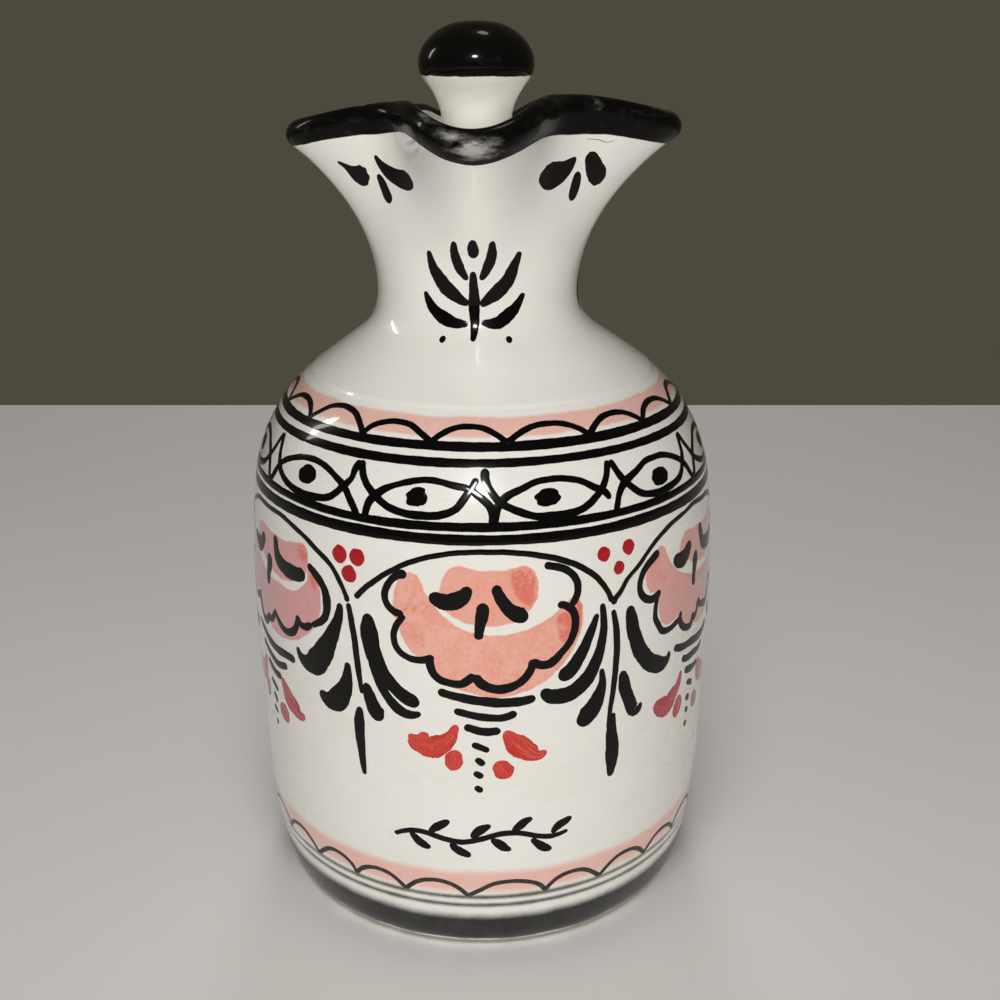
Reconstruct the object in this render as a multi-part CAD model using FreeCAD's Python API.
# A cruet with a mouth pinched into four pouring lips and a lift-off stopper.
# Millimetres. +Z is up, the origin is the middle of the foot, and the front,
# where the main flower is painted, looks along -Y.
import FreeCAD, Part
import math
import os

os.makedirs("parts", exist_ok=True)

# Belly: thrown as one bowl, closed in at the shoulder.
belly_radius = 50.0
joint_height = 113.0
belly_wall = 4.5
floor_thickness = 6.0
foot_width = 4.5
foot_recess = 1.4
inner_corner_radius = 8.0
bead_height = 1.2
bead_stand_out = 0.3
revolve_overrun = 10.0
# How near to a height an edge must lie to be picked.
pick_tolerance = 0.1
# Radius as a share of belly_radius, height as a share of joint_height.
belly_outline_shares = [
    (0.888, 0.0),
    (0.914, 0.012),
    (0.936, 0.036),
    (0.967, 0.106),
    (0.987, 0.212),
    (0.994, 0.354),
    (1.0, 0.531),
    (0.991, 0.673),
    (0.971, 0.779),
    (0.937, 0.85),
    (0.882, 0.903),
    (0.795, 0.958),
    (0.69, 1.0),
]
joint_ring_width = 7.0

# Neck: thrown apart, set on the belly with slip, then pinched at the rim.
neck_wall = 4.2
throat_radius = 20.4
throat_rise = 14.5
throat_shift = -0.75
lip_thickness = 5.0
lip_rise = 33.7
lobe_flare = 17.3
crest_flare = 4.2
reach_more_right = 1.3
side_droop = 4.3
front_droop = 6.1
mouth_rise_right = 0.75
mouth_rise_front = 1.1
flare_power = 2.15
plan_power = 1.15
side_droop_power = 1.25
front_droop_power = 2.0
columns = 48
# Outer wall below the throat: share of the way in from the joint's radius
# to the throat's, and share of the way up from the joint to the throat.
shoulder_shares = [(0.0, 0.0), (0.20, 0.14), (0.52, 0.36), (0.88, 0.60), (1.0, 0.92)]
# Share of the way up from the throat to the lip.
flare_shares = [0.14, 0.32, 0.50, 0.66, 0.80, 0.91]
# The lip's rounded end, a little thicker than the wall: along the wall and
# across it, as shares of half the lip's thickness.
roll_shares = [(-0.6, 1.05), (0.75, 1.15), (1.25, 0.0), (0.75, -1.15), (-0.6, -1.05)]
direction_step_share = 0.001

# Stopper: a glazed knob on a stem, its tang glued into a cork.
# Heights go up from the throat: disc, flared foot, stem, knob.
disc_rise = 14.7
disc_thickness = 3.0
disc_margin = 1.2
disc_edge_round = 0.9
foot_flare_height = 3.3
stem_length = 14.5
stem_radius = 7.25
knob_under_height = 8.0
knob_dome_height = 7.9
knob_radius = 11.3
tang_length = 14.0
cork_length = 17.0
cork_wall = 5.5
cork_taper = 1.6
cork_round = 1.0
glue_gap = 0.1
cork_seat_gap = 0.25
# Radius and height shares of the knob's dome, of its underside and of the stem.
dome_shares = [(0.0, 1.0), (0.42, 0.935), (0.73, 0.71), (0.93, 0.39), (1.0, 0.0)]
under_shares = [(0.875, 0.74), (0.53, 0.50), (0.16, 0.20), (0.0, 0.0)]
stem_shares = [(0.985, 0.5), (1.08, 0.0), (1.37, -0.13)]


def vec(x, z):
    return FreeCAD.Vector(x, 0, z)


def spline(points):
    curve = Part.BSplineCurve()
    curve.interpolate([vec(x, z) for x, z in points])
    return curve


def turned(edges):
    face = Part.Face(Part.Wire(edges))
    return face.revolve(vec(0, 0), FreeCAD.Vector(0, 0, 1), 360)


def save(shape, name):
    if not shape.isValid() or len(shape.Solids) != 1:
        raise ValueError(name + " is not one sound solid")
    shape.exportStep("parts/" + name + ".step")
    print(name, "volume", round(shape.Volume), "box", shape.BoundBox)


joint_radius = belly_radius * belly_outline_shares[-1][0]
joint_inner_radius = joint_radius - joint_ring_width
throat_height = joint_height + throat_rise
crest_height = throat_height + lip_rise
throat_inside = throat_radius - neck_wall
disc_bottom = throat_height + disc_rise
disc_top = disc_bottom + disc_thickness
stem_foot_height = disc_top + foot_flare_height
stem_height = stem_foot_height + stem_length
knob_waist_height = stem_height + knob_under_height
knob_top = knob_waist_height + knob_dome_height
disc_radius = throat_inside - disc_margin
cork_end_radius = throat_inside - cork_taper
cork_hole_radius = cork_end_radius - cork_wall
tang_radius = cork_hole_radius - glue_gap


def make_belly():
    outline = [(belly_radius * r, joint_height * z) for r, z in belly_outline_shares]
    foot_radius = outline[0][0]
    # The bead of slip squeezed out of the joint: a small arc above the outline.
    last, end = outline[-2:]
    share = bead_height / (end[1] - last[1])
    start = (end[0] + share * (last[0] - end[0]), end[1] - bead_height)
    way = math.hypot(end[0] - start[0], end[1] - start[1])
    bulge = (
        (start[0] + end[0]) / 2 + bead_stand_out * (end[1] - start[1]) / way,
        (start[1] + end[1]) / 2 + bead_stand_out * (start[0] - end[0]) / way,
    )
    curve = spline(outline[:-1] + [start])
    bead = Part.Arc(vec(*start), vec(*bulge), vec(*end))
    body = turned([
        Part.makeLine(vec(0, 0), vec(foot_radius, 0)),
        curve.toShape(),
        bead.toShape(),
        Part.makeLine(vec(joint_radius, joint_height), vec(0, joint_height)),
        Part.makeLine(vec(0, joint_height), vec(0, 0)),
    ])
    # The inside follows the outside, one wall in.
    steps = 2 * len(outline)
    inside = []
    for i in range(steps):
        u = curve.FirstParameter + (curve.LastParameter - curve.FirstParameter) * i / steps
        p = curve.value(u)
        t = curve.tangent(u)[0]
        x = p.x - belly_wall * t.z
        z = p.z + belly_wall * t.x
        clear = floor_thickness + belly_wall
        if z > clear and z < joint_height - belly_wall and x > joint_inner_radius + belly_wall:
            inside.append((x, z))
    inside.insert(0, (inside[0][0] - belly_wall / 2, floor_thickness))
    inside.append((joint_inner_radius, joint_height))
    top = joint_height + revolve_overrun
    hollow = turned([
        Part.makeLine(vec(0, floor_thickness), vec(inside[0][0], floor_thickness)),
        spline(inside).toShape(),
        Part.makeLine(vec(joint_inner_radius, joint_height), vec(joint_inner_radius, top)),
        Part.makeLine(vec(joint_inner_radius, top), vec(0, top)),
        Part.makeLine(vec(0, top), vec(0, floor_thickness)),
    ])
    corner = [
        e for e in hollow.Edges
        if abs(e.BoundBox.ZMax - floor_thickness) < pick_tolerance
        and e.BoundBox.ZLength < pick_tolerance
        and e.BoundBox.XLength > belly_radius
    ]
    hollow = hollow.makeFillet(inner_corner_radius, corner)
    recess_radius = foot_radius - foot_width
    recess = Part.makeCone(
        recess_radius, recess_radius - foot_recess, foot_recess
    )
    return body.cut(hollow).cut(recess)


def lobed(angle, power):
    # 1 in the middle of each of the four lobes, 0 at the crests between them.
    return ((1 + math.cos(4 * angle)) / 2) ** power


def wall_point(angle, share):
    # The wall's outer face, from the throat at share 0 to the lip at share 1.
    flare = crest_flare + (lobe_flare - crest_flare) * lobed(angle, plan_power)
    flare += reach_more_right * math.cos(angle)
    height = crest_height
    height -= side_droop * math.cos(angle) ** 2 * lobed(angle, side_droop_power)
    height -= front_droop * math.sin(angle) ** 2 * lobed(angle, front_droop_power)
    height += mouth_rise_right * math.cos(angle)
    height -= mouth_rise_front * math.sin(angle)
    radius = throat_radius + flare * share ** flare_power
    return radius, throat_height + (height - throat_height) * share


def wall_way(angle, share):
    # Unit direction of the wall, up and out, at this share of the way.
    a = wall_point(angle, share - direction_step_share)
    b = wall_point(angle, share + direction_step_share)
    length = math.hypot(b[0] - a[0], b[1] - a[1])
    return (b[0] - a[0]) / length, (b[1] - a[1]) / length


def column(angle):
    outer = []
    inner = []
    drop = throat_height - joint_height
    close = joint_radius - throat_radius
    inner_close = joint_inner_radius - throat_inside
    for inward, up in shoulder_shares:
        outer.append((joint_radius - close * inward, joint_height + drop * up))
        inner.append((joint_inner_radius - inner_close * inward, joint_height + drop * up))
    for share in flare_shares:
        r, z = wall_point(angle, share)
        dr, dz = wall_way(angle, share)
        outer.append((r, z))
        inner.append((r - neck_wall * dz, z + neck_wall * dr * share))
    r, z = wall_point(angle, 1)
    dr, dz = wall_way(angle, 1)
    half = lip_thickness / 2
    middle = (r - half * dz, z + half * dr)
    roll = []
    for along, across in roll_shares:
        roll.append((
            middle[0] + half * (along * dr + across * dz),
            middle[1] + half * (along * dz - across * dr),
        ))
    return outer + roll + inner[::-1]


def shift_at(z):
    # How far the neck's middle sits off the belly's, by height.
    up = (z - joint_height) / (throat_height - joint_height)
    up = min(max(up, 0), 1)
    return throat_shift * up * up * (3 - 2 * up)


def make_neck():
    rows = []
    # Poles on a ring stand a little outside the ring that they draw.
    swell = 3 / (2 + math.cos(2 * math.pi / columns))
    for i in range(columns):
        angle = 2 * math.pi * i / columns
        row = []
        for r, z in column(angle):
            x = r * swell * math.cos(angle) + shift_at(z)
            row.append(FreeCAD.Vector(x, r * swell * math.sin(angle), z))
        rows.append(row)
    count = len(rows[0])
    surface = Part.BSplineSurface()
    degree = 3
    order = degree + 1
    inner_knots = count - order
    surface.buildFromPolesMultsKnots(
        rows,
        [1] * (columns + 1),
        [order] + [1] * inner_knots + [order],
        list(range(columns + 1)),
        list(range(inner_knots + 2)),
        True, False, degree, degree,
    )
    skin = surface.toShape()
    rings = [
        e for e in skin.Edges
        if e.BoundBox.ZLength < pick_tolerance
        and abs(e.BoundBox.ZMin - joint_height) < pick_tolerance
    ]
    ring = Part.makeFace([Part.Wire([e]) for e in rings], "Part::FaceMakerBullseye")
    shell = Part.Compound([skin, ring])
    shell.sewShape()
    solid = Part.makeSolid(shell.Shells[0])
    if solid.Volume < 0:
        solid = Part.makeSolid(shell.Shells[0].reversed())
    return solid


def throat_radius_inside(z):
    # The narrowest that the passage gets at a height above the throat.
    share = max((z - throat_height) / lip_rise, 0)
    return throat_inside + crest_flare * share ** flare_power


def make_knob():
    outline = [
        (knob_radius * r, knob_waist_height + knob_dome_height * z)
        for r, z in dome_shares
    ]
    outline += [
        (stem_radius + (knob_radius - stem_radius) * r, stem_height + knob_under_height * z)
        for r, z in under_shares
    ]
    outline += [
        (stem_radius * r, stem_foot_height + stem_length * z)
        for r, z in stem_shares
    ]
    outline.append((disc_radius - disc_edge_round, disc_top))
    tang_end = disc_bottom - tang_length
    edges = [
        spline(outline).toShape(),
        Part.makeLine(vec(disc_radius - disc_edge_round, disc_top),
                      vec(disc_radius, disc_top - disc_edge_round)),
        Part.makeLine(vec(disc_radius, disc_top - disc_edge_round),
                      vec(disc_radius, disc_bottom)),
        Part.makeLine(vec(disc_radius, disc_bottom), vec(tang_radius, disc_bottom)),
        Part.makeLine(vec(tang_radius, disc_bottom), vec(tang_radius, tang_end)),
        Part.makeLine(vec(tang_radius, tang_end), vec(0, tang_end)),
        Part.makeLine(vec(0, tang_end), vec(0, knob_top)),
    ]
    return turned(edges)


def make_cork():
    top = disc_bottom
    bottom = disc_bottom - cork_length
    top_radius = throat_radius_inside(top) - cork_seat_gap
    hole_end = disc_bottom - tang_length - glue_gap
    body = turned([
        Part.makeLine(vec(0, bottom), vec(cork_end_radius - cork_round, bottom)),
        Part.makeLine(vec(cork_end_radius - cork_round, bottom),
                      vec(cork_end_radius, bottom + cork_round)),
        Part.makeLine(vec(cork_end_radius, bottom + cork_round), vec(top_radius, top)),
        Part.makeLine(vec(top_radius, top), vec(0, top)),
        Part.makeLine(vec(0, top), vec(0, bottom)),
    ])
    hole = Part.makeCylinder(cork_hole_radius, top + revolve_overrun - hole_end, vec(0, hole_end))
    return body.cut(hole)


belly = make_belly()
neck = make_neck()
knob = make_knob()
cork = make_cork()
for piece in (knob, cork):
    piece.translate(FreeCAD.Vector(throat_shift, 0, 0))

save(belly, "belly")
save(neck, "neck")
save(knob, "stopper_knob")
save(cork, "stopper_cork")
